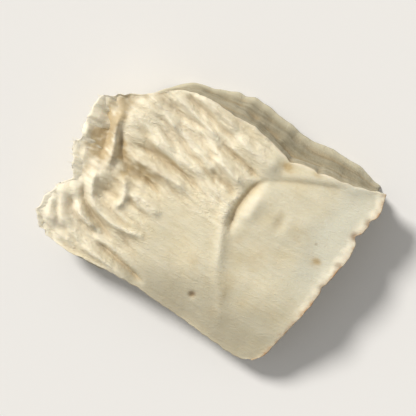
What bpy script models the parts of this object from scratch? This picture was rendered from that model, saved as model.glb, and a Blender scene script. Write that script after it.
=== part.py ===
"""A dried chunk of king oyster mushroom stem, modelled as one closed solid.

The chunk lies on its cut back with the stem's outer skin up. +X runs along the stem's fibres, from the torn,
frilled end to the knife-cut end. +Y runs across them, to the long cut side that slopes outwards. +Z is up.
The origin is under the middle of the chunk, on the surface that it lies on.

Lengths are in millimetres, and the mesh is scaled to metres where it is made.
"""

import bpy
import numpy as np
from mathutils import Vector, noise

MM = 0.001

# Driving dimensions. The outlines and folds below are drawn at this length and width.
LENGTH = 38.2
WIDTH = 30.2
TORN_END_HEIGHT = 5.6
MIDDLE_HEIGHT = 7.1
CUT_END_HEIGHT = 6.7
HOLLOW_DEPTH = 2.6
ARCH_HEIGHT = 1.25
FOOT_DEPTH = 0.5
FOOT_SLACK = 0.012
CELL = 0.36
MOST_TRIANGLES = 8400

# The skin face's outline, seen from above. Each side runs towards +X or +Y, and shares its end points.
SKIN_SOUTH = ((-19.0, -11.9), (-15.2, -12.6), (-10.1, -12.3), (-5.4, -12.0), (-1.0, -12.5), (4.7, -13.1),
              (9.5, -13.7), (14.0, -13.8))
SKIN_NORTH = ((-18.7, 8.0), (-14.4, 10.4), (-12.0, 12.3), (-8.0, 13.4), (-4.5, 13.1), (-1.6, 13.2),
              (1.4, 12.5), (4.3, 12.0), (6.3, 12.2), (8.7, 12.5), (11.8, 12.9), (16.8, 14.2))
SKIN_WEST = ((-19.0, -11.9), (-20.0, -9.6), (-20.2, -7.1), (-18.9, -4.3), (-19.8, -1.8), (-20.3, 2.4),
             (-20.6, 5.4), (-18.7, 8.0))
SKIN_EAST = ((14.0, -13.8), (14.9, -8.1), (15.8, -3.0), (16.3, 1.4), (16.9, 5.4), (16.8, 8.6), (17.4, 11.8),
             (16.8, 14.2))

# The back's outline, on the underside
BACK_SOUTH = ((-16.6, -11.4), (-14.0, -13.4), (-9.6, -13.3), (-5.4, -12.5), (-1.0, -12.0), (4.7, -12.3),
              (9.5, -12.8), (13.2, -12.8))
BACK_NORTH = ((-17.0, 8.0), (-14.2, 10.8), (-12.0, 12.6), (-7.7, 14.6), (-1.9, 15.7), (1.4, 15.3),
              (5.3, 15.1), (8.8, 15.1), (12.7, 15.0), (16.3, 14.2))
BACK_WEST = ((-16.6, -11.4), (-17.6, -7.5), (-16.6, -3.8), (-17.4, 0.6), (-18.0, 4.6), (-17.0, 8.0))
BACK_EAST = ((13.2, -12.8), (14.1, -8.0), (15.0, -3.0), (15.5, 1.5), (15.9, 6.0), (16.3, 10.5), (16.3, 14.2))

# Folds in the skin face: height at the crest, negative for a crease, half width, and the line that it follows
FOLDS = (
    # Where the wrinkled half meets the smooth panel
    (0.30, 0.80, ((-0.2, 4.6), (0.5, 3.0), (1.1, 0.7), (2.4, -2.2), (3.8, -5.0))),
    (0.18, 0.85, ((0.7, 2.0), (2.2, -1.9), (3.9, -5.7), (6.1, -8.7), (7.2, -11.8))),
    (-0.90, 0.60, ((3.6, 8.6), (2.4, 7.2), (1.9, 5.4), (1.7, 3.4), (1.9, 1.6), (2.6, -0.2))),
    (-0.20, 0.50, ((2.2, 7.6), (5.1, 9.2), (9.5, 11.1), (13.0, 12.5))),
    (0.26, 0.80, ((2.8, 9.4), (6.0, 10.6), (9.5, 11.9), (13.2, 12.9), (16.2, 14.0))),
    (0.30, 0.90, ((3.2, 7.0), (3.4, 4.6), (3.4, 2.2))),
    # The bright facet beside the panel's corner, and the creases that bound it
    (0.65, 1.20, ((-3.6, 11.0), (-0.8, 10.5), (2.0, 10.2), (4.4, 10.4))),
    (-0.75, 0.45, ((-4.2, 9.4), (-1.6, 8.8), (0.6, 8.3), (2.6, 7.6))),
    (-0.65, 0.45, ((-4.0, 5.9), (-2.2, 5.5), (-0.4, 4.9), (1.0, 4.3))),
    (0.55, 0.55, ((-4.6, 7.6), (-2.2, 7.2), (0.0, 6.5), (1.2, 6.1))),
    # The deep forked crease near the torn end, and the ridges beside it
    (-1.00, 0.62, ((-16.6, 5.2), (-15.4, 3.4), (-14.1, 1.5), (-12.2, 0.5), (-9.6, 0.3), (-6.8, -0.1))),
    (0.85, 0.60, ((-14.0, 2.3), (-12.0, 2.2), (-9.4, 2.2), (-6.6, 2.3), (-3.8, 1.7))),
    (-0.80, 0.50, ((-14.4, 3.6), (-11.6, 3.8), (-8.6, 3.8), (-5.6, 3.4), (-3.0, 2.9))),
    (0.60, 0.65, ((-12.8, 5.3), (-9.4, 5.4), (-6.4, 4.9), (-3.6, 4.4))),
    (-0.80, 0.62, ((-19.0, 7.0), (-17.9, 4.6), (-16.8, 2.0), (-16.4, -0.4))),
    (0.85, 0.55, ((-17.2, 6.8), (-16.3, 4.0), (-15.3, 1.2), (-14.9, -1.2))),
    (0.50, 0.70, ((-20.1, 5.0), (-19.7, 2.2), (-18.9, -0.4))),
    # The pocket below the fork, and its raised edges
    (0.80, 0.55, ((-13.2, -0.5), (-11.8, -1.6), (-11.3, -3.2), (-11.8, -5.0))),
    (0.50, 0.55, ((-11.4, -1.8), (-8.8, -1.9), (-5.8, -2.6))),
    (0.45, 0.50, ((-16.0, -1.6), (-15.6, -3.2), (-14.6, -4.8))),
    # The creases that sweep round from the torn end to the grey facet
    (-1.00, 0.50, ((-16.8, -3.4), (-16.1, -5.2), (-14.4, -6.6), (-12.0, -7.5), (-9.6, -8.6))),
    (0.80, 0.48, ((-15.6, -3.8), (-14.6, -5.2), (-12.4, -6.2), (-9.4, -6.4), (-6.2, -5.9))),
    (-0.60, 0.42, ((-17.6, -5.8), (-16.0, -7.6), (-13.6, -8.6), (-11.0, -9.4))),
    (0.55, 0.42, ((-16.4, -6.2), (-14.6, -7.6), (-12.2, -8.3))),
    (-1.00, 0.45, ((-12.2, -9.5), (-10.2, -10.0), (-8.0, -10.3), (-5.6, -10.8), (-3.4, -11.2))),
    (0.60, 0.55, ((-13.6, -10.9), (-10.6, -11.1), (-7.2, -11.5), (-4.6, -11.9))),
    # Lumps of the torn end
    (0.75, 1.40, ((-19.2, -4.6), (-18.2, -7.9), (-16.4, -10.8))),
    (0.35, 0.60, ((-19.4, -7.0), (-18.2, -10.6))),
    (-0.35, 0.45, ((-18.9, -6.0), (-17.9, -8.4), (-16.6, -10.6))),
    # The fan of long wrinkles above the fork
    (0.60, 0.50, ((-10.2, 13.0), (-7.6, 12.6), (-5.2, 12.2), (-2.6, 11.7))),
    (0.60, 0.45, ((-15.4, 10.2), (-13.4, 9.6), (-11.0, 8.6), (-9.0, 7.6))),
    (-0.50, 0.40, ((-13.2, 10.8), (-10.0, 9.9), (-7.2, 9.0), (-4.4, 8.2))),
    (0.50, 0.42, ((-12.9, 11.8), (-9.6, 10.9), (-6.6, 10.2), (-3.4, 9.6))),
    (0.45, 0.42, ((-11.8, 8.7), (-9.0, 8.0), (-6.2, 7.2), (-3.8, 6.7))),
    (-0.50, 0.42, ((-12.2, 7.6), (-9.0, 6.9), (-6.2, 6.2), (-4.2, 5.8))),
    (-0.55, 0.42, ((-11.4, 12.4), (-8.0, 11.6), (-5.2, 11.1), (-2.8, 10.7))),
)

# Dents and swellings in the skin face: height, middle, half length along X and along Y
SWELLINGS = (
    (-0.95, (-13.4, -3.0), 1.3, 1.7),
    (-0.55, (-8.2, -8.2), 2.6, 1.7),
    (0.55, (-14.2, 7.4), 2.0, 1.8),
    (0.30, (9.4, 5.2), 4.6, 3.6),
    (-0.22, (7.2, 4.4), 0.7, 1.2),
    (-0.35, (-3.0, -4.6), 3.0, 2.6),
    (0.25, (10.4, -4.8), 3.6, 3.4),
    (-0.06, (13.7, 2.6), 0.7, 0.6),
    (-0.28, (2.3, -9.3), 0.36, 0.36),
)

# Feet that the cut back lies on: middle and radius
FEET = (
    ((10.0, -12.4), 7.0),
    ((-12.0, -12.6), 6.0),
    ((-8.5, 13.5), 7.5),
    ((13.0, 13.4), 6.5),
)

# Nicks in the edges, seen from above: depth, middle and half width
NICKS = (
    (0.7, (16.7, 7.7), 0.5),
    (0.5, (17.2, 10.2), 0.4),
    (0.25, (16.2, 0.0), 0.5),
    (0.45, (4.5, 12.0), 0.6),
    (0.4, (8.2, 12.5), 0.4),
    (0.6, (-19.0, -4.2), 0.8),
    (0.6, (-20.1, 1.0), 0.6),
    (1.1, (14.0, -13.8), 1.5),
)


def smooth_step(value, start=0.0, end=1.0):
    """0 up to start, 1 from end on, and a smooth rise between them."""
    share = np.clip((value - start) / (end - start), 0.0, 1.0)
    return share * share * (3.0 - 2.0 * share)


def curve_through(points, shares):
    """Points on a smooth curve through the given ones, at shares of its length from 0 to 1."""
    points = np.array(points, float)
    steps = np.linalg.norm(np.diff(points, axis=0), axis=1)
    knots = np.concatenate([[0.0], np.cumsum(steps)]) / steps.sum()
    slopes = np.gradient(points, knots, axis=0)
    shares = np.asarray(shares, float)
    index = np.clip(np.searchsorted(knots, shares, side="right") - 1, 0, len(knots) - 2)
    gap = (knots[index + 1] - knots[index])[:, None]
    t = (shares - knots[index])[:, None] / gap
    start = (1 + 2 * t) * (1 - t) ** 2 * points[index] + t * (1 - t) ** 2 * gap * slopes[index]
    end = t ** 2 * (3 - 2 * t) * points[index + 1] + t ** 2 * (t - 1) * gap * slopes[index + 1]
    return start + end


def patch(south, north, west, east, a, b):
    """A Coons patch: points inside an outline of four curves, at shares a along X and b along Y."""
    a_column, b_column = a[:, None], b[:, None]
    across = (1 - b_column) * curve_through(south, a) + b_column * curve_through(north, a)
    along = (1 - a_column) * curve_through(west, b) + a_column * curve_through(east, b)
    low = (1 - a_column) * np.array(south[0]) + a_column * np.array(south[-1])
    high = (1 - a_column) * np.array(north[0]) + a_column * np.array(north[-1])
    return across + along - (1 - b_column) * low - b_column * high


def wander(x, y, z, size, seed):
    """Smooth noise between about -1 and 1, whose lumps are `size` across."""
    cells = zip(x / size + seed * 17.3, y / size - seed * 9.1, z / size + seed * 5.7)
    return np.array([noise.noise(Vector(cell)) for cell in cells])


def distance_to_line(x, y, line):
    """Each point's distance to a line, and the share of the line's length at which it is nearest."""
    nearest = np.full(len(x), np.inf)
    share = np.zeros(len(x))
    for number, (start, end) in enumerate(zip(line[:-1], line[1:])):
        dx, dy = end - start
        t = np.clip(((x - start[0]) * dx + (y - start[1]) * dy) / (dx * dx + dy * dy), 0.0, 1.0)
        distance = np.hypot(x - start[0] - t * dx, y - start[1] - t * dy)
        closer = distance < nearest
        nearest[closer] = distance[closer]
        share[closer] = (number + t[closer]) / (len(line) - 1)
    return nearest, share


def fold_relief(x, y):
    """The height that the folds add to the skin face: ridges and creases that fade at both ends."""
    relief = np.zeros(len(x))
    for height, half_width, points in FOLDS:
        distance, share = distance_to_line(x, y, curve_through(points, np.linspace(0.0, 1.0, 13)))
        fading = smooth_step(share, 0.0, 0.25) * smooth_step(1.0 - share, 0.0, 0.25)
        roundness = 1.25 if height < 0 else 1.8
        relief += height * fading * np.exp(-((distance / half_width) ** roundness))
    return relief


def swelling_relief(x, y):
    """The height that the dents and swellings add to the skin face."""
    relief = np.zeros(len(x))
    for height, (mid_x, mid_y), half_x, half_y in SWELLINGS:
        relief += height * np.exp(-(((x - mid_x) / half_x) ** 2) - ((y - mid_y) / half_y) ** 2)
    return relief


def crumple(x, y, degrees, size, stretch, seed):
    """Crumpled relief about one high: sharp creases and crests that run at an angle to the fibres."""
    angle = np.radians(degrees)
    along = (x * np.cos(angle) + y * np.sin(angle)) / stretch
    across = y * np.cos(angle) - x * np.sin(angle)
    across = across + 0.4 * size * wander(x, y, 0 * x, 2.2 * size, seed + 1)
    creases = np.abs(wander(along, across, 0 * x, size, seed))
    crests = np.abs(wander(along * 1.3, across, 0 * x, 0.75 * size, seed + 2))
    return 1.8 * (creases - 0.22) - 0.7 * (crests - 0.22)


def panel_share(x, y):
    """1 on the smooth panel by the cut end, and 0 on the wrinkled half."""
    edge = 1.6 + 0.38 * np.maximum(1.0 - y, 0.0)
    return smooth_step(x - edge, -1.2, 1.6)


def smooth_share(x, y):
    """1 where the skin shrank evenly: on the panel, and on the plain belly below the fan of wrinkles."""
    belly = smooth_step(x, -9.5, -4.5) * smooth_step(-y, -2.5, 1.5)
    return np.maximum(panel_share(x, y), 0.92 * belly)


def crumple_relief(x, y):
    """The height that shrinking added all over the skin: most at the torn end, none on the smooth panel."""
    torn = smooth_step(-x, 14.0, 18.0)
    wrinkled = (0.10 + 0.26 * smooth_step(-x, -1.5, 12.0)) * (1 - torn) * (1 - smooth_share(x, y))
    fan = 0.50 * np.exp(-((x + 6.5) / 6.5) ** 4 - ((y - 8.0) / 5.0) ** 4)
    relief = wrinkled * crumple(x, y, -14, 1.6, 5.0, 11)
    relief += 0.40 * torn * crumple(x, y, -62, 1.7, 3.0, 21)
    relief += fan * crumple(x, y, -13, 0.95, 7.0, 31)
    relief += 0.10 * panel_share(x, y) * wander(x, y, 0 * x, 2.6, 33)
    return relief


def skin_height(x, y, rim):
    """The skin face's height, crowned along and across the fibres. `rim` is the distance in from its edge."""
    to_middle = smooth_step(x, -19.0, 2.0)
    to_cut_end = smooth_step(x, 2.0, 18.0)
    height = TORN_END_HEIGHT + (MIDDLE_HEIGHT - TORN_END_HEIGHT) * to_middle
    height = height + (CUT_END_HEIGHT - MIDDLE_HEIGHT) * to_cut_end
    height -= 0.0052 * (y - 3.0) ** 2
    height -= 2.0 * smooth_step(-y, 3.5, 15.0) * smooth_step(x, -8.0, 3.0)
    height += 0.35 * wander(x, y, 0 * x, 7.0, 1)
    frill = smooth_step(-x, 16.0, 20.0)
    height += (0.25 + 0.25 * frill + 0.35 * wander(x, y, 0 * x, 3.0, 22)) * np.exp(-rim / 0.6)
    height += frill * 0.6 * wander(x, y, 0 * x, 2.2, 2)
    return height + fold_relief(x, y) + swelling_relief(x, y) + crumple_relief(x, y)


def back_height(x, y):
    """The cut back's height above the surface that it lies on: a shrunken hollow with flat feet round it."""
    along = np.clip(1 - ((x + 0.5) / 15.5) ** 2, 0.0, 1.0)
    across = np.clip(1 - ((y - 1.0) / 13.0) ** 2, 0.0, 1.0)
    hollow = HOLLOW_DEPTH * np.sqrt(along * across)
    furrows = 0.45 * wander(x * 0.25, y, 0 * x, 2.6, 3)
    footing = np.zeros(len(x))
    for (mid_x, mid_y), radius in FEET:
        footing = np.maximum(footing, np.exp(-((x - mid_x) ** 2 + (y - mid_y) ** 2) / radius ** 2))
    arches = ARCH_HEIGHT * (1 - footing) * (1 + 0.5 * wander(x, y, 0 * x, 5.0, 18))
    lifted_torn_end = 2.7 * smooth_step(-x, 12.0, 19.0)
    return np.maximum(np.maximum(hollow, arches) + furrows - FOOT_DEPTH, 0.0) + lifted_torn_end


def edge_direction(a, b):
    """The way out of the chunk at its sides, level, as a unit vector."""
    out_x = np.sign(a - 0.5) * np.abs(2 * a - 1) ** 12
    out_y = np.sign(b - 0.5) * np.abs(2 * b - 1) ** 12
    size = np.maximum(np.hypot(out_x, out_y), 1e-9)
    return out_x / size, out_y / size


def side_relief(x, y, z, level, a, b):
    """How far the sides stand out: shrunken in at half height, streaked along the fibres, torn at one end."""
    side = np.where((level > 0) & (level < 1), np.sin(np.pi * level), 0.0)
    streaks = 1.1 * np.abs(wander(x * 0.12, y * 0.12, z, 1.5, 4))
    cut_end = 0.28 * wander(x, y, z * 0.5, 1.1, 5)
    torn_end = 0.9 * wander(x * 0.5, y, z, 1.3, 16) - 0.9
    long_side = np.abs(2 * b - 1) > 0.999
    relief = np.where(long_side, streaks, np.where(a < 0.5, torn_end, cut_end))
    shrinking = 0.9 + 0.8 * wander(x, y, z * 0.7, 5.0, 9)
    return side * (relief - shrinking)


def nick_depth(x, y):
    """How far the edge is cut in at each nick."""
    depth = np.zeros(len(x))
    for most, (mid_x, mid_y), half_width in NICKS:
        depth += most * np.exp(-((x - mid_x) ** 2 + (y - mid_y) ** 2) / half_width ** 2)
    return depth


def ragged_edge(x, y, rim):
    """How far the skin's edge wanders out: coarsely at the torn end, and finely at the knife cuts."""
    torn = smooth_step(-x, 14.0, 18.0)
    coarse = 0.75 * wander(x, y, 0 * x, 1.7, 6) + 0.30 * wander(x, y, 0 * x, 0.7, 8)
    fine = 0.16 * wander(x, y, 0 * x, 0.9, 7)
    return np.exp(-rim / 0.9) * (torn * coarse + (1 - torn) * fine)


def back_edge(x, y):
    """How far the back's edge wanders out."""
    return 0.75 * wander(x, y, 0 * x, 4.5, 17) + 0.25 * wander(x, y, 0 * x, 1.3, 20)


def chunk_points(a, b, level):
    """Places on the surface: shares a and b along X and Y, and level 0 at the back and 1 at the skin."""
    skin = patch(SKIN_SOUTH, SKIN_NORTH, SKIN_WEST, SKIN_EAST, a, b)
    back = patch(BACK_SOUTH, BACK_NORTH, BACK_WEST, BACK_EAST, a, b)
    rim = np.minimum(np.minimum(a, 1 - a) * LENGTH, np.minimum(b, 1 - b) * WIDTH)
    out_x, out_y = edge_direction(a, b)
    at_skin = smooth_step(level)
    nicks = np.exp(-rim / 0.8) * at_skin * nick_depth(*skin.T)
    shift = ragged_edge(*skin.T, rim) - nicks
    skin = skin + np.stack([out_x, out_y], axis=1) * shift[:, None]
    back = back + np.stack([out_x, out_y], axis=1) * (np.exp(-rim / 1.5) * back_edge(*back.T))[:, None]
    top = skin_height(*skin.T, rim)
    bottom = back_height(*back.T)
    x, y = (back + (skin - back) * level[:, None]).T
    z = bottom + (top - bottom) * level
    out = side_relief(x, y, z, level, a, b)
    return np.stack([x + out_x * out, y + out_y * out, z], axis=1)


def box_surface(counts):
    """A box's surface as squares: the lattice points on it, and four of them for each face, facing out."""
    index, faces = {}, []
    for axis in range(3):
        first, second = (axis + 1) % 3, (axis + 2) % 3
        for end in (0, counts[axis]):
            for i in range(counts[first]):
                for j in range(counts[second]):
                    corners = []
                    for di, dj in ((0, 0), (1, 0), (1, 1), (0, 1)):
                        place = [0, 0, 0]
                        place[axis], place[first], place[second] = end, i + di, j + dj
                        corners.append(index.setdefault(tuple(place), len(index)))
                    faces.append(corners if end else corners[::-1])
    return np.array(list(index), float) / counts, faces


def eased(points, faces, strength, passes):
    """The points moved towards their neighbours' middle, each by its own share of the way."""
    corners = np.array(faces)
    starts = corners.ravel()
    for _ in range(passes):
        total, count = np.zeros_like(points), np.zeros(len(points))
        for turn in (1, -1):
            np.add.at(total, starts, points[np.roll(corners, turn, axis=1).ravel()])
            np.add.at(count, starts, 1)
        points = points + strength[:, None] * (total / count[:, None] - points)
    return points


def mushroom_material():
    """Dried mushroom flesh: pale straw, matt."""
    material = bpy.data.materials.new("dried_flesh")
    material.use_nodes = True
    shader = material.node_tree.nodes["Principled BSDF"]
    shader.inputs["Base Color"].default_value = (0.67, 0.59, 0.41, 1.0)
    shader.inputs["Roughness"].default_value = 0.75
    shader.inputs["Metallic"].default_value = 0.0
    return material


def thin_out(piece, most_triangles):
    """Merges faces where the surface is smoothest, until no more than so many triangles are left."""
    thinned = piece.modifiers.new("thinned", "DECIMATE")
    thinned.ratio = min(1.0, most_triangles / (2 * len(piece.data.polygons)))
    evaluated = piece.evaluated_get(bpy.context.evaluated_depsgraph_get())
    piece.data = bpy.data.meshes.new_from_object(evaluated)
    piece.modifiers.remove(thinned)


def level_feet(mesh):
    """Sets every point that is all but on the ground at exactly its height, so that the feet are flat."""
    for vertex in mesh.vertices:
        if vertex.co.z < FOOT_SLACK * MM:
            vertex.co.z = 0.0


def build_mushroom_piece():
    """The whole chunk, as one object with its origin under its middle."""
    counts = np.array([round(LENGTH / CELL), round(WIDTH / CELL), round(MIDDLE_HEIGHT / CELL)])
    shares, faces = box_surface(counts)
    points = chunk_points(*shares.T)
    rows_in = np.sort(np.minimum(shares, 1 - shares) * counts, axis=1)
    near_edge = 1.0 - smooth_step(rows_in[:, 1] * CELL, 0.0, 0.9)
    points = eased(points, faces, 0.25 + 0.35 * near_edge, 2)
    points[:, 2] = np.maximum(points[:, 2], 0.0)
    points -= (points.min(axis=0) + points.max(axis=0)) / 2 * (1, 1, 0)
    points *= (LENGTH / np.ptp(points[:, 0]), WIDTH / np.ptp(points[:, 1]), 1.0)
    mesh = bpy.data.meshes.new("mushroom_piece")
    mesh.from_pydata((points * MM).tolist(), [], faces)
    mesh.shade_smooth()
    mesh.materials.append(mushroom_material())
    piece = bpy.data.objects.new("mushroom_piece", mesh)
    bpy.context.scene.collection.objects.link(piece)
    thin_out(piece, MOST_TRIANGLES)
    level_feet(piece.data)
    return piece


def main():
    for old in list(bpy.data.objects):
        bpy.data.objects.remove(old)
    build_mushroom_piece()


main()
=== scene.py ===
"""The looks of a dried chunk of king oyster mushroom stem, laid out as a Blender add-on and run as a script.

The chunk lies on its cut back with the stem's outer skin up. +X runs along the stem's fibres, from the torn,
frilled end to the knife-cut end. +Y runs across them, to the long cut side that slopes outwards. +Z is up.

The form's own functions work in millimetres. Settings and finished meshes are in metres.
"""

import math

import bpy
import numpy as np
from bpy.props import FloatProperty, FloatVectorProperty, IntProperty, PointerProperty
from mathutils import Matrix, Vector, noise


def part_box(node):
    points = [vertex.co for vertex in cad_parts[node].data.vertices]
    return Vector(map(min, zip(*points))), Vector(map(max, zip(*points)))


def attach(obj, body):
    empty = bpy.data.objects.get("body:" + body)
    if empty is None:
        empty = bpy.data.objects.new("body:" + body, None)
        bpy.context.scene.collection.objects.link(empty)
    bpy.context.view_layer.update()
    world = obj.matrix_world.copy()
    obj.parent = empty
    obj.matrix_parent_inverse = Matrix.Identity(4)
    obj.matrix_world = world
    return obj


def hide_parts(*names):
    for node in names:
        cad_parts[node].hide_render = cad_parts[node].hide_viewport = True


bl_info = {
    "name": "Dried King Oyster Mushroom",
    "version": (1, 0, 0),
    "blender": (4, 5, 0),
    "location": "View3D > Sidebar > Mushroom",
    "description": "Builds a dried chunk of king oyster mushroom, its torn fibres and a stage",
    "category": "Object",
}

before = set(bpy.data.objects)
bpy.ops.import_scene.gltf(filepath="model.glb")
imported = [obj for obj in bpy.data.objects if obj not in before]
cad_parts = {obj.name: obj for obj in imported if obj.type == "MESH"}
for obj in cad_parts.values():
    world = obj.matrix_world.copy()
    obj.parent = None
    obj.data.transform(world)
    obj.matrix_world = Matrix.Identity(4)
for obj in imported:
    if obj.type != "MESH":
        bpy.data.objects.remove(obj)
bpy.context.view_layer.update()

MM = 0.001
NODE = "mushroom_piece"
BODY = "root"
LOW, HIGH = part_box(NODE)
LENGTH = (HIGH.x - LOW.x) / MM
WIDTH = (HIGH.y - LOW.y) / MM

# The solid's own heights and hollows, in millimetres
TORN_END_HEIGHT = 5.6
MIDDLE_HEIGHT = 7.1
CUT_END_HEIGHT = 6.7
LOW_SIDE_DROP = 2.0
TORN_END_LIFT = 2.7
HOLLOW_DEPTH = 2.6
ARCH_HEIGHT = 1.25
FOOT_DEPTH = 0.5

# The skin face's crown, across the fibres: where it runs, and its fall in millimetres for each one squared
CROWN_Y = 3.0
CROWN_FALL = 0.0052

# Rounds of evening out, against which fine folds and broad ones show
FINE_FOLD_PASSES = 26
BROAD_FOLD_PASSES = 90

# The skin face's outline, seen from above. Each side runs towards +X or +Y, and shares its end points.
SKIN_SOUTH = ((-19.0, -11.9), (-15.2, -12.6), (-10.1, -12.3), (-5.4, -12.0), (-1.0, -12.5), (4.7, -13.1),
              (9.5, -13.7), (14.0, -13.8))
SKIN_NORTH = ((-18.7, 8.0), (-14.4, 10.4), (-12.0, 12.3), (-8.0, 13.4), (-4.5, 13.1), (-1.6, 13.2),
              (1.4, 12.5), (4.3, 12.0), (6.3, 12.2), (8.7, 12.5), (11.8, 12.9), (16.8, 14.2))
SKIN_WEST = ((-19.0, -11.9), (-20.0, -9.6), (-20.2, -7.1), (-18.9, -4.3), (-19.8, -1.8), (-20.3, 2.4),
             (-20.6, 5.4), (-18.7, 8.0))
SKIN_EAST = ((14.0, -13.8), (14.9, -8.1), (15.8, -3.0), (16.3, 1.4), (16.9, 5.4), (16.8, 8.6), (17.4, 11.8),
             (16.8, 14.2))

# The back's outline, on the underside
BACK_SOUTH = ((-16.6, -11.4), (-14.0, -13.4), (-9.6, -13.3), (-5.4, -12.5), (-1.0, -12.0), (4.7, -12.3),
              (9.5, -12.8), (13.2, -12.8))
BACK_NORTH = ((-17.0, 8.0), (-14.2, 10.8), (-12.0, 12.6), (-7.7, 14.6), (-1.9, 15.7), (1.4, 15.3),
              (5.3, 15.1), (8.8, 15.1), (12.7, 15.0), (16.3, 14.2))
BACK_WEST = ((-16.6, -11.4), (-17.6, -7.5), (-16.6, -3.8), (-17.4, 0.6), (-18.0, 4.6), (-17.0, 8.0))
BACK_EAST = ((13.2, -12.8), (14.1, -8.0), (15.0, -3.0), (15.5, 1.5), (15.9, 6.0), (16.3, 10.5), (16.3, 14.2))

# Folds in the skin face: height at the crest, negative for a crease, half width, and the line that it follows
FOLDS = (
    # Where the wrinkled half meets the smooth panel
    (0.30, 0.80, ((-0.2, 4.6), (0.5, 3.0), (1.1, 0.7), (2.4, -2.2), (3.8, -5.0))),
    (0.18, 0.85, ((0.7, 2.0), (2.2, -1.9), (3.9, -5.7), (6.1, -8.7), (7.2, -11.8))),
    (-0.90, 0.60, ((3.6, 8.6), (2.4, 7.2), (1.9, 5.4), (1.7, 3.4), (1.9, 1.6), (2.6, -0.2))),
    (-0.20, 0.50, ((2.2, 7.6), (5.1, 9.2), (9.5, 11.1), (13.0, 12.5))),
    (0.26, 0.80, ((2.8, 9.4), (6.0, 10.6), (9.5, 11.9), (13.2, 12.9), (16.2, 14.0))),
    (0.30, 0.90, ((3.2, 7.0), (3.4, 4.6), (3.4, 2.2))),
    # The bright facet beside the panel's corner, and the creases that bound it
    (0.65, 1.20, ((-3.6, 11.0), (-0.8, 10.5), (2.0, 10.2), (4.4, 10.4))),
    (-0.75, 0.45, ((-4.2, 9.4), (-1.6, 8.8), (0.6, 8.3), (2.6, 7.6))),
    (-0.65, 0.45, ((-4.0, 5.9), (-2.2, 5.5), (-0.4, 4.9), (1.0, 4.3))),
    (0.55, 0.55, ((-4.6, 7.6), (-2.2, 7.2), (0.0, 6.5), (1.2, 6.1))),
    # The deep forked crease near the torn end, and the ridges beside it
    (-1.00, 0.62, ((-16.6, 5.2), (-15.4, 3.4), (-14.1, 1.5), (-12.2, 0.5), (-9.6, 0.3), (-6.8, -0.1))),
    (0.85, 0.60, ((-14.0, 2.3), (-12.0, 2.2), (-9.4, 2.2), (-6.6, 2.3), (-3.8, 1.7))),
    (-0.80, 0.50, ((-14.4, 3.6), (-11.6, 3.8), (-8.6, 3.8), (-5.6, 3.4), (-3.0, 2.9))),
    (0.60, 0.65, ((-12.8, 5.3), (-9.4, 5.4), (-6.4, 4.9), (-3.6, 4.4))),
    (-0.80, 0.62, ((-19.0, 7.0), (-17.9, 4.6), (-16.8, 2.0), (-16.4, -0.4))),
    (0.85, 0.55, ((-17.2, 6.8), (-16.3, 4.0), (-15.3, 1.2), (-14.9, -1.2))),
    (0.50, 0.70, ((-20.1, 5.0), (-19.7, 2.2), (-18.9, -0.4))),
    # The pocket below the fork, and its raised edges
    (0.80, 0.55, ((-13.2, -0.5), (-11.8, -1.6), (-11.3, -3.2), (-11.8, -5.0))),
    (0.50, 0.55, ((-11.4, -1.8), (-8.8, -1.9), (-5.8, -2.6))),
    (0.45, 0.50, ((-16.0, -1.6), (-15.6, -3.2), (-14.6, -4.8))),
    # The creases that sweep round from the torn end to the grey facet
    (-1.00, 0.50, ((-16.8, -3.4), (-16.1, -5.2), (-14.4, -6.6), (-12.0, -7.5), (-9.6, -8.6))),
    (0.80, 0.48, ((-15.6, -3.8), (-14.6, -5.2), (-12.4, -6.2), (-9.4, -6.4), (-6.2, -5.9))),
    (-0.60, 0.42, ((-17.6, -5.8), (-16.0, -7.6), (-13.6, -8.6), (-11.0, -9.4))),
    (0.55, 0.42, ((-16.4, -6.2), (-14.6, -7.6), (-12.2, -8.3))),
    (-1.00, 0.45, ((-12.2, -9.5), (-10.2, -10.0), (-8.0, -10.3), (-5.6, -10.8), (-3.4, -11.2))),
    (0.60, 0.55, ((-13.6, -10.9), (-10.6, -11.1), (-7.2, -11.5), (-4.6, -11.9))),
    # Lumps of the torn end
    (0.75, 1.40, ((-19.2, -4.6), (-18.2, -7.9), (-16.4, -10.8))),
    (0.35, 0.60, ((-19.4, -7.0), (-18.2, -10.6))),
    (-0.35, 0.45, ((-18.9, -6.0), (-17.9, -8.4), (-16.6, -10.6))),
    # The fan of long wrinkles above the fork
    (0.60, 0.50, ((-10.2, 13.0), (-7.6, 12.6), (-5.2, 12.2), (-2.6, 11.7))),
    (0.60, 0.45, ((-15.4, 10.2), (-13.4, 9.6), (-11.0, 8.6), (-9.0, 7.6))),
    (-0.50, 0.40, ((-13.2, 10.8), (-10.0, 9.9), (-7.2, 9.0), (-4.4, 8.2))),
    (0.50, 0.42, ((-12.9, 11.8), (-9.6, 10.9), (-6.6, 10.2), (-3.4, 9.6))),
    (0.45, 0.42, ((-11.8, 8.7), (-9.0, 8.0), (-6.2, 7.2), (-3.8, 6.7))),
    (-0.50, 0.42, ((-12.2, 7.6), (-9.0, 6.9), (-6.2, 6.2), (-4.2, 5.8))),
    (-0.55, 0.42, ((-11.4, 12.4), (-8.0, 11.6), (-5.2, 11.1), (-2.8, 10.7))),
)

# Dents and swellings in the skin face: height, middle, half length along X and along Y
SWELLINGS = (
    (-0.95, (-13.4, -3.0), 1.3, 1.7),
    (-0.55, (-8.2, -8.2), 2.6, 1.7),
    (0.55, (-14.2, 7.4), 2.0, 1.8),
    (0.30, (9.4, 5.2), 4.6, 3.6),
    (-0.22, (7.2, 4.4), 0.7, 1.2),
    (-0.35, (-3.0, -4.6), 3.0, 2.6),
    (0.25, (10.4, -4.8), 3.6, 3.4),
    (-0.06, (13.7, 2.6), 0.7, 0.6),
    (-0.28, (2.3, -9.3), 0.36, 0.36),
)

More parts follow.
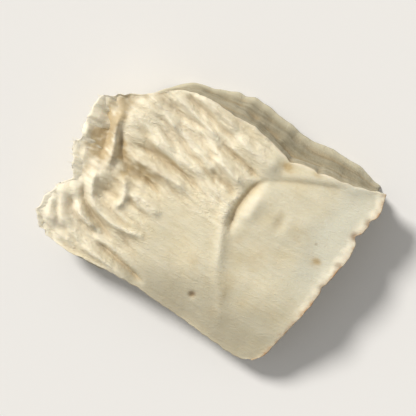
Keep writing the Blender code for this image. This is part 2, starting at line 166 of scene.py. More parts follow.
# Feet that the cut back lies on: middle and radius
FEET = (
    ((10.0, -12.4), 7.0),
    ((-12.0, -12.6), 6.0),
    ((-8.5, 13.5), 7.5),
    ((13.0, 13.4), 6.5),
)

# Nicks in the edges, seen from above: depth, middle and half width
NICKS = (
    (0.7, (16.7, 7.7), 0.5),
    (0.5, (17.2, 10.2), 0.4),
    (0.25, (16.2, 0.0), 0.5),
    (0.45, (4.5, 12.0), 0.6),
    (0.4, (8.2, 12.5), 0.4),
    (0.6, (-19.0, -4.2), 0.8),
    (0.6, (-20.1, 1.0), 0.6),
    (1.1, (14.0, -13.8), 1.5),
)

# Brown spots in the skin: strength, middle and radius
SPOTS = (
    (0.75, (2.3, -9.3), 0.48),
    (0.95, (16.3, 7.8), 0.60),
    (0.90, (17.0, 10.2), 0.55),
    (0.70, (16.05, 0.1), 0.55),
    (0.60, (16.35, 3.6), 0.45),
)

# Tan stains in the skin, and tan darkening at the torn end between its lips and folds and at its north
# corner: strength, middle, and half length along X and along Y
STAINS = (
    (1.5, (4.7, 11.1), 0.80, 0.48),
    (0.75, (13.7, 2.5), 0.65, 0.55),
    (0.45, (8.3, 12.2), 0.8, 0.4),
    (1.2, (-18.3, 2.4), 0.8, 2.6),
    (0.45, (-19.0, 5.2), 0.5, 1.5),
    (0.85, (-17.6, 3.0), 1.1, 2.4),
    (0.35, (-17.6, -2.5), 1.2, 1.2),
    (0.95, (-16.6, 1.2), 0.7, 1.5),
    (0.24, (-16.8, -8.2), 1.2, 1.4),
    (0.80, (-17.2, 5.4), 1.2, 1.8),
    (0.70, (-17.6, 8.0), 1.8, 1.5),
    (0.45, (-16.8, -0.4), 1.0, 1.0),
    (1.3, (-12.9, -0.5), 0.65, 0.50),
    (0.80, (-14.8, 2.4), 0.9, 1.8),
    (0.65, (-10.6, 1.1), 3.4, 1.0),
    (0.45, (-8.6, 4.1), 3.0, 0.6),
    (0.35, (-2.4, 8.9), 2.4, 0.5),
    (0.28, (-11.5, 1.8), 4.0, 2.4),
    (0.40, (-14.6, 9.6), 2.0, 1.4),
    (0.30, (-6.0, 12.6), 3.0, 0.7),
    (0.32, (7.4, -1.2), 0.9, 1.6),
    (0.28, (10.6, 4.4), 1.2, 1.0),
    (0.36, (5.8, -8.2), 0.6, 2.4),
    (0.30, (6.9, 5.0), 0.8, 1.1),
    (0.32, (4.0, 0.1), 0.5, 1.5),
    (0.30, (0.7, -5.2), 1.0, 0.8),
    (0.26, (8.4, -6.8), 0.9, 0.8),
    (0.22, (11.6, -6.4), 1.6, 0.8),
)

# Pale patches of the skin: strength, middle, and half length along X and along Y
PALE_PATCHES = (
    (0.45, (-8.5, 9.0), 5.5, 4.0),
    (0.50, (-13.2, -9.8), 3.0, 1.9),
    (0.35, (-14.4, -4.5), 1.2, 1.2),
)

# The key light's side of the picture, right and up, then how far out and how high it stands, and its spread
KEY_SIDE = (-0.62, 0.79)
KEY_REACH = 0.40
KEY_HEIGHT = 0.31
KEY_SPREAD = math.radians(14)
KEY_COLOUR = (1.0, 0.975, 0.94)

# The rest of the stage: the sky's colour, half the floor's side, and the camera's sensor in millimetres
SKY_COLOUR = (1.0, 0.985, 0.96, 1.0)
FLOOR_HALF = 2.0
SENSOR_WIDTH = 36.0


class ChunkSettings(bpy.types.PropertyGroup):
    """Sizes and colours of the chunk's flesh and skin."""

    length: FloatProperty(name="Length", description="Along the fibres", default=LENGTH * MM, unit="LENGTH")
    width: FloatProperty(name="Width", description="Across the fibres", default=WIDTH * MM, unit="LENGTH")
    cell: FloatProperty(name="Cell", description="Side of the mesh's squares", default=0.00018, unit="LENGTH")
    fine_wrinkle: FloatProperty(
        name="Fine wrinkle", description="Height of the finest wrinkles", default=0.00016, unit="LENGTH")
    skin: FloatVectorProperty(
        name="Skin", description="Pale outer skin", size=4, subtype="COLOR",
        default=(0.650, 0.598, 0.435, 1.0))
    shrunken_skin: FloatVectorProperty(
        name="Shrunken skin", description="Paler skin of the wrinkled half", size=4, subtype="COLOR",
        default=(0.83, 0.75, 0.55, 1.0))
    warm_skin: FloatVectorProperty(
        name="Warm skin", description="Creamier patches of the skin", size=4, subtype="COLOR",
        default=(0.635, 0.540, 0.335, 1.0))
    # Paler skin on the fold tops, partly a painted highlight where they catch the light; also the pale tint
    # of the skin's fibre streaks.
    crest_and_painted_highlight: FloatVectorProperty(
        name="Crest", description="Bleached tops of the folds", size=4, subtype="COLOR",
        default=(0.86, 0.80, 0.635, 1.0))
    frill: FloatVectorProperty(
        name="Frill", description="The torn end's thin lips", size=4, subtype="COLOR",
        default=(0.95, 0.875, 0.69, 1.0))
    # Tan of the folds' depths, made darker than the skin's own tan as painted shade.
    crease_tan_and_painted_shade: FloatVectorProperty(
        name="Crease", description="Depths of the folds", size=4, subtype="COLOR",
        default=(0.39, 0.270, 0.130, 1.0))
    bleached: FloatVectorProperty(
        name="Bleached skin", description="Whiter skin near the knife-cut end", size=4, subtype="COLOR",
        default=(0.66, 0.645, 0.525, 1.0))
    stain: FloatVectorProperty(
        name="Stain", description="Tan stains in the skin", size=4, subtype="COLOR",
        default=(0.46, 0.335, 0.155, 1.0))
    # The cut flesh's own colour, darkened further as painted shade of the shaded cut side. It also tints the
    # skin's low side as painted shade.
    cut: FloatVectorProperty(
        name="Cut flesh", description="Sides and back", size=4, subtype="COLOR",
        default=(0.43, 0.385, 0.275, 1.0))
    cut_streak: FloatVectorProperty(
        name="Cut streak", description="Darker fibres in the cut flesh", size=4, subtype="COLOR",
        default=(0.28, 0.245, 0.16, 1.0))
    rim: FloatVectorProperty(
        name="Rim", description="Browned, crumbly edge of the knife cuts", size=4, subtype="COLOR",
        default=(0.45, 0.28, 0.15, 1.0))
    spot: FloatVectorProperty(
        name="Spot", description="Brown specks and bruised nicks", size=4, subtype="COLOR",
        default=(0.20, 0.10, 0.035, 1.0))


class FibreSettings(bpy.types.PropertyGroup):
    """Sizes of the loose fibre ends."""

    length: FloatProperty(name="Length", description="Longest fibre end", default=0.0008, unit="LENGTH")
    thickness: FloatProperty(name="Thickness", description="Fibre's width", default=0.00007, unit="LENGTH")
    density: FloatProperty(
        name="Density", description="Fibre ends on a square metre of the torn end", default=6.0e6)
    seed: IntProperty(name="Seed", description="Another seed scatters them anew", default=3)


class StageSettings(bpy.types.PropertyGroup):
    """Camera, light and floor."""

    lean: FloatProperty(
        name="Lean", description="Camera's angle from straight above, towards the long cut side",
        default=math.radians(9), subtype="ANGLE")
    turn: FloatProperty(
        name="Turn", description="Angle from the fibres to the picture's level line",
        default=math.radians(30), subtype="ANGLE")
    shown_width: FloatProperty(name="Shown width", description="Width in view", default=0.0535, unit="LENGTH")
    lens: FloatProperty(name="Lens", description="Focal length in millimetres", default=135.0)
    key_strength: FloatProperty(name="Key strength", description="Light from the upper left", default=3.4)
    sky: FloatProperty(name="Sky", description="Strength of the even light from all round", default=0.40)
    floor: FloatVectorProperty(
        name="Floor", description="Floor's colour", size=4, subtype="COLOR", default=(0.80, 0.79, 0.77, 1.0))


def smooth_step(value, start=0.0, end=1.0):
    """0 up to start, 1 from end on, and a smooth rise between them."""
    share = np.clip((value - start) / (end - start), 0.0, 1.0)
    return share * share * (3.0 - 2.0 * share)


def curve_through(points, shares):
    """Points on a smooth curve through the given ones, at shares of its length from 0 to 1."""
    points = np.array(points, float)
    steps = np.linalg.norm(np.diff(points, axis=0), axis=1)
    knots = np.concatenate([[0.0], np.cumsum(steps)]) / steps.sum()
    slopes = np.gradient(points, knots, axis=0)
    shares = np.asarray(shares, float)
    index = np.clip(np.searchsorted(knots, shares, side="right") - 1, 0, len(knots) - 2)
    gap = (knots[index + 1] - knots[index])[:, None]
    t = (shares - knots[index])[:, None] / gap
    start = (1 + 2 * t) * (1 - t) ** 2 * points[index] + t * (1 - t) ** 2 * gap * slopes[index]
    end = t ** 2 * (3 - 2 * t) * points[index + 1] + t ** 2 * (t - 1) * gap * slopes[index + 1]
    return start + end


def patch(south, north, west, east, a, b):
    """Points inside an outline of four curves, blended from them, at shares a along X and b along Y."""
    a_column, b_column = a[:, None], b[:, None]
    across = (1 - b_column) * curve_through(south, a) + b_column * curve_through(north, a)
    along = (1 - a_column) * curve_through(west, b) + a_column * curve_through(east, b)
    low = (1 - a_column) * np.array(south[0]) + a_column * np.array(south[-1])
    high = (1 - a_column) * np.array(north[0]) + a_column * np.array(north[-1])
    return across + along - (1 - b_column) * low - b_column * high


def wander(x, y, z, size, seed):
    """Smooth noise between about -1 and 1, whose lumps are `size` across."""
    cells = zip(x / size + seed * 17.3, y / size - seed * 9.1, z / size + seed * 5.7)
    return np.array([noise.noise(Vector(cell)) for cell in cells])


def level_wander(x, y, size, seed):
    """The same noise on one level."""
    return wander(x, y, np.zeros(len(x)), size, seed)


def distance_to_line(x, y, line):
    """Each point's distance to a line, and the share of the line's length at which it is nearest."""
    nearest = np.full(len(x), np.inf)
    share = np.zeros(len(x))
    for number, (start, end) in enumerate(zip(line[:-1], line[1:])):
        dx, dy = end - start
        t = np.clip(((x - start[0]) * dx + (y - start[1]) * dy) / (dx * dx + dy * dy), 0.0, 1.0)
        distance = np.hypot(x - start[0] - t * dx, y - start[1] - t * dy)
        closer = distance < nearest
        nearest[closer] = distance[closer]
        share[closer] = (number + t[closer]) / (len(line) - 1)
    return nearest, share


def fold_relief(x, y):
    """The height that the folds add to the skin face: ridges and creases that fade at both ends."""
    relief = np.zeros(len(x))
    for height, half_width, points in FOLDS:
        distance, share = distance_to_line(x, y, curve_through(points, np.linspace(0.0, 1.0, 13)))
        fading = smooth_step(share, 0.0, 0.25) * smooth_step(1.0 - share, 0.0, 0.25)
        roundness = 1.25 if height < 0 else 1.8
        relief += height * fading * np.exp(-((distance / half_width) ** roundness))
    return relief


def soft_patches(x, y, rows):
    """The sum of soft-edged patches: strength or height, middle, and half length along X and along Y."""
    total = np.zeros(len(x))
    for strength, (mid_x, mid_y), half_x, half_y in rows:
        total += strength * np.exp(-(((x - mid_x) / half_x) ** 2) - ((y - mid_y) / half_y) ** 2)
    return total


def round_patches(x, y, rows, sharpness):
    """The sum of round patches: strength or depth, middle and radius, with edges as sharp as given."""
    total = np.zeros(len(x))
    for strength, (mid_x, mid_y), radius in rows:
        distance = (x - mid_x) ** 2 + (y - mid_y) ** 2
        total += strength * np.exp(-((distance / radius ** 2) ** sharpness))
    return total


def crumple(x, y, degrees, size, stretch, seed):
    """Crumpled relief about one high: sharp creases and crests that run at an angle to the fibres."""
    angle = np.radians(degrees)
    along = (x * np.cos(angle) + y * np.sin(angle)) / stretch
    across = y * np.cos(angle) - x * np.sin(angle)
    across = across + 0.4 * size * level_wander(x, y, 2.2 * size, seed + 1)
    creases = np.abs(level_wander(along, across, size, seed))
    crests = np.abs(level_wander(along * 1.3, across, 0.75 * size, seed + 2))
    return 1.8 * (creases - 0.22) - 0.7 * (crests - 0.22)


def panel_share(x, y):
    """1 on the smooth panel by the cut end, and 0 on the wrinkled half."""
    edge = 1.6 + 0.38 * np.maximum(1.0 - y, 0.0)
    return smooth_step(x - edge, -1.2, 1.6)


def smooth_share(x, y):
    """1 where the skin shrank evenly: on the panel, and on the plain belly below the fan of wrinkles."""
    belly = smooth_step(x, -9.5, -4.5) * smooth_step(-y, -2.5, 1.5)
    return np.maximum(panel_share(x, y), 0.92 * belly)


def torn_share(x):
    """1 at the torn end, and 0 from four millimetres in."""
    return smooth_step(-x, 14.0, 18.0)


def crumple_relief(x, y):
    """The height that shrinking added all over the skin: most at the torn end, none on the smooth panel."""
    torn = torn_share(x)
    wrinkled = (0.10 + 0.26 * smooth_step(-x, -1.5, 12.0)) * (1 - torn) * (1 - smooth_share(x, y))
    fan = 0.50 * np.exp(-((x + 6.5) / 6.5) ** 4 - ((y - 8.0) / 5.0) ** 4)
    relief = wrinkled * crumple(x, y, -14, 1.6, 5.0, 11)
    relief += 0.40 * torn * crumple(x, y, -62, 1.7, 3.0, 21)
    relief += fan * crumple(x, y, -13, 0.95, 7.0, 31)
    relief += 0.10 * panel_share(x, y) * level_wander(x, y, 2.6, 33)
    return relief


def fine_relief(x, y):
    """The finest modelled wrinkles, about one high: close along the fibres, faint on the smooth panel."""
    share = 0.16 + 0.84 * (1 - smooth_share(x, y))
    share = share * (1 - 0.45 * torn_share(x))
    return share * (crumple(x, y, -13, 0.62, 7.0, 41) + 0.45 * crumple(x, y, -50, 0.9, 3.0, 43))


def skin_height(x, y, rim):
    """The skin face's height, crowned along and across the fibres. `rim` is the distance in from its edge."""
    to_middle = smooth_step(x, -19.0, 2.0)
    to_cut_end = smooth_step(x, 2.0, 18.0)
    height = TORN_END_HEIGHT + (MIDDLE_HEIGHT - TORN_END_HEIGHT) * to_middle
    height = height + (CUT_END_HEIGHT - MIDDLE_HEIGHT) * to_cut_end
    height -= CROWN_FALL * (y - CROWN_Y) ** 2
    height -= LOW_SIDE_DROP * smooth_step(-y, 3.5, 15.0) * smooth_step(x, -8.0, 3.0)
    height += 0.35 * level_wander(x, y, 7.0, 1)
    frill = smooth_step(-x, 16.0, 20.0)
    height += (0.25 + 0.25 * frill + 0.35 * level_wander(x, y, 3.0, 22)) * np.exp(-rim / 0.6)
    height += frill * 0.6 * level_wander(x, y, 2.2, 2)
    return height + fold_relief(x, y) + soft_patches(x, y, SWELLINGS) + crumple_relief(x, y)


def back_height(x, y):
    """The cut back's height above the surface that it lies on: a shrunken hollow with flat feet round it."""
    along = np.clip(1 - ((x + 0.5) / 15.5) ** 2, 0.0, 1.0)
    across = np.clip(1 - ((y - 1.0) / 13.0) ** 2, 0.0, 1.0)
    hollow = HOLLOW_DEPTH * np.sqrt(along * across)
    furrows = 0.45 * level_wander(x * 0.25, y, 2.6, 3)
    footing = np.zeros(len(x))
    for (mid_x, mid_y), radius in FEET:
        footing = np.maximum(footing, np.exp(-((x - mid_x) ** 2 + (y - mid_y) ** 2) / radius ** 2))
    arches = ARCH_HEIGHT * (1 - footing) * (1 + 0.5 * level_wander(x, y, 5.0, 18))
    lifted_torn_end = TORN_END_LIFT * smooth_step(-x, 12.0, 19.0)
    return np.maximum(np.maximum(hollow, arches) + furrows - FOOT_DEPTH, 0.0) + lifted_torn_end


def fine_furrows(x, y, height):
    """Fine furrows along the fibres of the cut back, and none on its feet."""
    furrows = 0.26 * np.abs(level_wander(x * 0.10, y, 0.9, 44))
    furrows += 0.12 * np.abs(level_wander(x * 0.14, y, 0.45, 45))
    return smooth_step(height, 0.0, 0.4) * furrows


def edge_direction(a, b):
    """The way out of the chunk at its sides, level, as a unit vector."""
    out_x = np.sign(a - 0.5) * np.abs(2 * a - 1) ** 12
    out_y = np.sign(b - 0.5) * np.abs(2 * b - 1) ** 12
    size = np.maximum(np.hypot(out_x, out_y), 1e-9)
    return out_x / size, out_y / size


def side_relief(x, y, z, level, a, b):
    """How far the sides stand out: shrunken in at half height, streaked along the fibres, torn at one end."""
    side = np.where((level > 0) & (level < 1), np.sin(np.pi * level), 0.0)
    streaks = 1.1 * np.abs(wander(x * 0.12, y * 0.12, z, 1.5, 4))
    streaks -= 0.5 * np.abs(wander(x * 0.2, y * 0.2, z, 0.7, 14))
    cut_end = 0.28 * wander(x, y, z * 0.5, 1.1, 5) + 0.12 * wander(x, y, z * 0.6, 0.45, 15)
    torn_end = 0.9 * wander(x * 0.5, y, z, 1.3, 16) + 0.5 * wander(x * 0.5, y, z, 0.55, 19) - 0.9
    long_side = np.abs(2 * b - 1) > 0.999
    relief = np.where(long_side, streaks, np.where(a < 0.5, torn_end, cut_end))
    shrinking = 0.9 + 0.8 * wander(x, y, z * 0.7, 5.0, 9)
    return side * (relief - shrinking)


def ragged_edge(x, y, rim):
    """How far the skin's edge wanders out: coarsely at the torn end, and finely at the knife cuts."""
    torn = torn_share(x)
    coarse = 0.75 * level_wander(x, y, 1.7, 6) + 0.30 * level_wander(x, y, 0.7, 8)
    fine = 0.16 * level_wander(x, y, 0.9, 7)
    return np.exp(-rim / 0.9) * (torn * coarse + (1 - torn) * fine)


def back_edge(x, y):
    """How far the back's edge wanders out."""
    return 0.75 * level_wander(x, y, 4.5, 17) + 0.25 * level_wander(x, y, 1.3, 20)


def rim_distance(a, b):
    """How far in from the chunk's outline each point lies, in millimetres."""
    return np.minimum(np.minimum(a, 1 - a) * LENGTH, np.minimum(b, 1 - b) * WIDTH)


def chunk_points(a, b, level, fine_wrinkle):
    """Places on the surface: shares a and b along X and Y, and level 0 at the back and 1 at the skin."""
    skin = patch(SKIN_SOUTH, SKIN_NORTH, SKIN_WEST, SKIN_EAST, a, b)
    back = patch(BACK_SOUTH, BACK_NORTH, BACK_WEST, BACK_EAST, a, b)
    rim = rim_distance(a, b)
    out_x, out_y = edge_direction(a, b)
    out_level = np.stack([out_x, out_y], axis=1)
    nicks = np.exp(-rim / 0.8) * smooth_step(level) * round_patches(*skin.T, NICKS, 1.0)
    skin_shift = ragged_edge(*skin.T, rim) - nicks
    back_shift = np.exp(-rim / 1.5) * back_edge(*back.T)
    skin = skin + out_level * skin_shift[:, None]
    back = back + out_level * back_shift[:, None]
    top = skin_height(*skin.T, rim) + fine_wrinkle * fine_relief(*skin.T)
    bottom = back_height(*back.T)
    bottom = bottom + fine_furrows(*back.T, bottom)
    x, y = (back + (skin - back) * level[:, None]).T
    z = bottom + (top - bottom) * level
    out = side_relief(x, y, z, level, a, b)
    return np.stack([x + out_x * out, y + out_y * out, z], axis=1)


def box_surface(counts):
    """A box's surface as squares: the lattice points on it, and four of them for each face, facing out."""
    index, faces = {}, []
    for axis in range(3):
        first, second = (axis + 1) % 3, (axis + 2) % 3
        for end in (0, counts[axis]):
            for i in range(counts[first]):
                for j in range(counts[second]):
                    corners = []
                    for di, dj in ((0, 0), (1, 0), (1, 1), (0, 1)):
                        place = [0, 0, 0]
                        place[axis], place[first], place[second] = end, i + di, j + dj
                        corners.append(index.setdefault(tuple(place), len(index)))
                    faces.append(corners if end else corners[::-1])
    return np.array(list(index), float) / counts, np.array(faces)


def eased(points, faces, strength, passes):
    """The points moved towards their neighbours' middle, each by its own share of the way."""
    starts = faces.ravel()
    ends = [np.roll(faces, turn, axis=1).ravel() for turn in (1, -1)]
    count = np.bincount(starts, minlength=len(points)) * 2.0
    for _ in range(passes):
        total = np.stack([sum(np.bincount(starts, weights=column[end], minlength=len(points)) for end in ends)
                          for column in points.T], axis=1)
        points = points + strength[:, None] * (total / count[:, None] - points)
    return points


def hollowness(points, faces, normals, passes):
    """How deep each point lies in a fold, in millimetres. It is negative on a crest."""
    levelled = eased(points, faces, np.full(len(points), 0.7), passes)
    return ((levelled - points) * normals).sum(axis=1)


def store(mesh, name, values):
    """Keeps one number for each point of a mesh, for materials and for scattering to read."""
    attribute = mesh.attributes.new(name, "FLOAT", "POINT")
    attribute.data.foreach_set("value", np.asarray(values, np.float32))


def point_normals(mesh):
    """The way out of the surface at each of a mesh's points."""
    normals = np.empty(len(mesh.vertices) * 3, np.float32)
    mesh.vertices.foreach_get("normal", normals)
    return normals.reshape(-1, 3)


def store_folds(mesh, x, y, points, faces, torn):
    """Keeps where the mesh is sunk in a fold's hollow and where it stands on a fold's top: hollows are
    painted tan and darker as shade, tops paler, partly as a painted highlight.
    """
    normals = point_normals(mesh)
    hollow = hollowness(points, faces, normals, FINE_FOLD_PASSES)
    dip = np.clip(hollowness(points, faces, normals, BROAD_FOLD_PASSES) / 0.5, 0, 1)
    dip = dip * (1 - smooth_share(x, y))
    # Fold hollows and broad dips: tan skin, darkened further as painted shade.
    store(mesh, "crease_tan_and_painted_shade", np.clip(hollow / 0.22 + 0.35 * dip, 0, 1) * (1 - 0.45 * torn))
    # Painted highlight: fold tops are made paler, partly the skin's own paler tone.
    store(mesh, "crest_and_painted_highlight", np.clip(-hollow / 0.16, 0, 1))


def stain_share(x, y):
    """How strong the tan stains are, mottled and streaked along the fibres."""
    mottling = 0.9 + 0.8 * level_wander(x, y, 0.9, 54) + 0.9 * level_wander(x * 0.4, y, 0.4, 58)
    return np.clip(soft_patches(x, y, STAINS) * mottling, 0, 0.9)


def pale_share(x, y, rim, torn, from_cut_end):
    """How white the skin is: on the torn end's lips, beside the knife-cut end and on the pale patches."""
    lips = torn * np.exp(-((rim / 0.75) ** 2))
    band = 0.75 * np.exp(-(((from_cut_end - 0.95) / 0.55) ** 2)) * smooth_step(y, -8.0, -2.0)
    band *= np.clip(0.75 + 0.9 * level_wander(x, y, 0.8, 57), 0, 1)
    return np.maximum(lips, np.maximum(band, soft_patches(x, y, PALE_PATCHES)))


def store_masks(mesh, shares, points, faces, shift):
    """Keeps, from 0 to 1, where each finish, painted shade and painted highlight shows on the mesh and where
    it is frayed.
    """
    a, b, level = shares.T
    x, y = points[:, 0] + shift[0], points[:, 1] + shift[1]
    height = points[:, 2].max()
    rim = rim_distance(a, b)
    torn = smooth_step(-x + 1.2 * level_wander(x, y, 3.0, 52), 13.0, 17.5)
    from_cut_end = (1 - a) * LENGTH + 0.25 * level_wander(x, y, 0.8, 53)
    below_skin = (1 - level) * height + 0.15 * wander(x, y, points[:, 2], 0.6, 51)
    bleach = smooth_step(x + 1.5 * level_wander(x, y, 3.0, 55), 8.0, 14.0) * smooth_step(y, -6.0, 1.0)
    # Painted shade: the skin is darkened towards its low south edge, where shade falls.
    low = smooth_step(-y + 1.2 * level_wander(x, y, 2.5, 56), 4.5, 12.5) * smooth_step(x, -13.0, -5.0)
    on_back = np.where(level > 0, 1.0, 0.25 + 0.75 * np.exp(-rim / 0.8))
    browned = np.exp(-((from_cut_end / 0.5) ** 2)) + 0.25 * np.exp(-((rim / 0.25) ** 2))
    spots = np.clip(round_patches(x, y, SPOTS, 1.5), 0, 1)
    torn_face = (a == 0) * (level < 1)
    torn_rim = torn * np.exp(-rim / 0.5) * (level == 1)
    store_folds(mesh, x, y, points, faces, torn)
    store(mesh, "torn", torn)
    store(mesh, "fray", np.maximum(torn_face, torn_rim))
    store(mesh, "skin", 1 - smooth_step(below_skin / (1 + 3 * torn), 0.05, 0.5))
    store(mesh, "plain", smooth_share(x, y) * (level > 0.5))
    store(mesh, "bleach", bleach)
    store(mesh, "low", low)
    store(mesh, "lip", pale_share(x, y, rim, torn, from_cut_end) * (level > 0.7))
    store(mesh, "stain", stain_share(x, y))
    store(mesh, "spot", spots * smooth_step(level, 0.5, 1.0))
    store(mesh, "rim", np.clip(browned, 0, 1) * (1 - torn) * smooth_step(level, 0.85, 1.0))
    store(mesh, "back", on_back * (1 - smooth_step(level * height, 0.0, 1.8)))


def add_node(tree, kind, settings=None, inputs=None):
    """A new node with its settings and its inputs, each of which is a value or another node's output."""
    made = tree.nodes.new(kind)
    for name, value in (settings or {}).items():
        setattr(made, name, value)
    for name, value in (inputs or {}).items():
        if isinstance(value, bpy.types.NodeSocket):
            tree.links.new(value, made.inputs[name])
        else:
            made.inputs[name].default_value = value
    return made


def mixed(tree, share, first, second):
    """A colour between two others."""
    settings = {"data_type": "RGBA", "clamp_result": True}
    return add_node(tree, "ShaderNodeMix", settings, {0: share, 6: first, 7: second}).outputs[2]


def calculated(tree, operation, first, second=0.0, third=0.0):
    """The result of a sum."""
    made = add_node(tree, "ShaderNodeMath", {"operation": operation}, {0: first, 1: second, 2: third})
    return made.outputs[0]


def product(tree, first, second):
    """One value times another."""
    return calculated(tree, "MULTIPLY", first, second)


def scaled(tree, value, factor, added):
    """A value times a factor, plus another value."""
    return calculated(tree, "MULTIPLY_ADD", value, factor, added)


def mapped(tree, value, low, high, to_low=0.0, to_high=1.0):
    """A value moved from one range to another, and held inside it."""
    inputs = {"Value": value, "From Min": low, "From Max": high, "To Min": to_low, "To Max": to_high}
    return add_node(tree, "ShaderNodeMapRange", {"clamp": True}, inputs).outputs[0]


def noise_value(tree, vector, scale, detail=2.0, roughness=0.5, distortion=0.0):
    """Soft noise from 0 to 1."""
    inputs = {"Vector": vector, "Scale": scale, "Detail": detail, "Roughness": roughness,
              "Distortion": distortion}
    return add_node(tree, "ShaderNodeTexNoise", None, inputs).outputs[0]


def mask(tree, name):
    """A number kept on the mesh."""
    return add_node(tree, "ShaderNodeAttribute", {"attribute_name": name}).outputs["Fac"]


def tinted(tree, colour, name, share, tint):
    """A colour with a tint over it where a mask is, by a share of the mask."""
    return mixed(tree, product(tree, mask(tree, name), share), colour, tint)


def new_group(name, inputs, outputs):
    """An empty shader node group with number inputs, one coordinate input, and number outputs."""
    group = bpy.data.node_groups.new(name, "ShaderNodeTree")
    group.interface.new_socket("Coordinates", in_out="INPUT", socket_type="NodeSocketVector")
    for label, default in inputs.items():
        socket = group.interface.new_socket(label, in_out="INPUT", socket_type="NodeSocketFloat")
        socket.default_value = default
    for label in outputs:
        group.interface.new_socket(label, in_out="OUTPUT", socket_type="NodeSocketFloat")
    return group, group.nodes.new("NodeGroupInput"), group.nodes.new("NodeGroupOutput")


def fibre_grain_group():
    """Streaks that run along the stem's fibres, as a mask and as a height."""
    inputs = {"Fineness": 4000.0, "Stretch": 14.0}
    group, start, end = new_group("Fibre grain", inputs, ("Streaks", "Height"))
    squeeze = calculated(group, "DIVIDE", 1.0, start.outputs["Stretch"])
    scale = add_node(group, "ShaderNodeCombineXYZ", None, {"X": squeeze, "Y": 1.0, "Z": 1.0}).outputs[0]
    settings = {"operation": "MULTIPLY"}
    along = add_node(group, "ShaderNodeVectorMath", settings, {0: start.outputs["Coordinates"], 1: scale})
    fine = noise_value(group, along.outputs[0], start.outputs["Fineness"], 3.0, 0.6)
    coarse_scale = product(group, start.outputs["Fineness"], 0.28)
    coarse = noise_value(group, along.outputs[0], coarse_scale, 2.0, 0.55, 0.4)
    streaks = scaled(group, fine, 0.45, product(group, coarse, 0.55))
    group.links.new(mapped(group, streaks, 0.38, 0.64), end.inputs["Streaks"])
    group.links.new(streaks, end.inputs["Height"])
    return group


def shrunken_skin_group():
    """Fine shrunken wrinkles and pores, as a height, and the creamier patches of the skin, as a mask."""
    inputs = {"Wrinkle size": 0.00045, "Patch size": 0.006}
    group, start, end = new_group("Shrunken skin", inputs, ("Height", "Patches"))
    coordinates = start.outputs["Coordinates"]
    squeeze = add_node(group, "ShaderNodeVectorMath", {"operation": "MULTIPLY"},
                       {0: coordinates, 1: (0.42, 1.0, 1.0)}).outputs[0]
    scale = calculated(group, "DIVIDE", 1.0, start.outputs["Wrinkle size"])
    lumps = noise_value(group, squeeze, scale, 4.0, 0.6, 0.8)
    ridged = calculated(group, "ABSOLUTE", calculated(group, "SUBTRACT", lumps, 0.5))
    fine = noise_value(group, coordinates, product(group, scale, 3.1), 3.0, 0.6)
    height = scaled(group, ridged, 1.7, product(group, fine, 0.35))
    patch_scale = calculated(group, "DIVIDE", 1.0, start.outputs["Patch size"])
    patches = noise_value(group, coordinates, patch_scale, 4.0, 0.58, 0.3)
    group.links.new(height, end.inputs["Height"])
    group.links.new(mapped(group, patches, 0.38, 0.66), end.inputs["Patches"])
    return group


def placed_group(tree, group, coordinates, **inputs):
    """A group in a material, with its own values."""
    made = add_node(tree, "ShaderNodeGroup", {"node_tree": group}, {"Coordinates": coordinates})
    for label, value in inputs.items():
        made.inputs[label.replace("_", " ").capitalize()].default_value = value
    return made


def skin_colour(tree, settings, patches, streaks):
    """The skin's colour: creamy patches, crests bleached and partly painted as a highlight, white lips, tan
    stains, depths tan and darker as painted shade, and painted shade on the low side.
    """
    colour = mixed(tree, mask(tree, "plain"), settings.shrunken_skin, settings.skin)
    colour = mixed(tree, product(tree, patches, 0.6), colour, settings.warm_skin)
    colour = mixed(tree, product(tree, streaks, 0.25), colour, settings.crest_and_painted_highlight)
    # The low tint is painted shade, the crease tint is tan with painted shade, and the crest tint is paler
    # skin with a painted highlight.
    for name, share, tint in (("crest_and_painted_highlight", 0.55, settings.crest_and_painted_highlight), ("bleach", 0.75, settings.bleached),
                              ("torn", 0.85, settings.frill), ("low", 0.60, settings.cut),
                              ("stain", 0.85, settings.stain), ("crease_tan_and_painted_shade", 0.52, settings.crease_tan_and_painted_shade),
                              ("lip", 0.85, settings.frill)):
        colour = tinted(tree, colour, name, share, tint)
    return colour


def cut_colour(tree, settings, streaks):
    """The cut flesh's colour: duller than the skin, partly as painted shade, streaked along the fibres, and
    tan in its hollows.
    """
    colour = mixed(tree, streaks, settings.cut_streak, settings.cut)
    colour = tinted(tree, colour, "back", 0.70, settings.skin)
    colour = tinted(tree, colour, "torn", 0.75, settings.frill)
    # Hollows of the cut flesh are tinted tan and darker, partly as painted shade, less at the torn end.
    depth = scaled(tree, mask(tree, "torn"), -0.30, 0.45)
    return tinted(tree, colour, "crease_tan_and_painted_shade", depth, settings.crease_tan_and_painted_shade)


def speck_mask(tree, coordinates):
    """Sparse brown specks of grit and bruise, a few tenths of a millimetre across."""
    inputs = {"Vector": coordinates, "Scale": 420.0, "Randomness": 1.0}
    cells = add_node(tree, "ShaderNodeTexVoronoi", None, inputs)
    near = mapped(tree, cells.outputs["Distance"], 0.05, 0.10, 1.0, 0.0)
    picked = add_node(tree, "ShaderNodeSeparateColor", None, {0: cells.outputs["Color"]}).outputs[0]
    return product(tree, near, mapped(tree, picked, 0.90, 0.93, 0.0, 0.4))


def marked_colour(tree, settings, coordinates, colour):
    """A colour with the browned rims, the spots and the specks over it."""
    broken = mapped(tree, noise_value(tree, coordinates, 900.0, 3.0), 0.40, 0.60)
    colour = tinted(tree, colour, "rim", scaled(tree, broken, 0.65, 0.35), settings.rim)
    spots = calculated(tree, "MAXIMUM", mask(tree, "spot"), speck_mask(tree, coordinates))
    return mixed(tree, product(tree, spots, 0.8), colour, settings.spot)


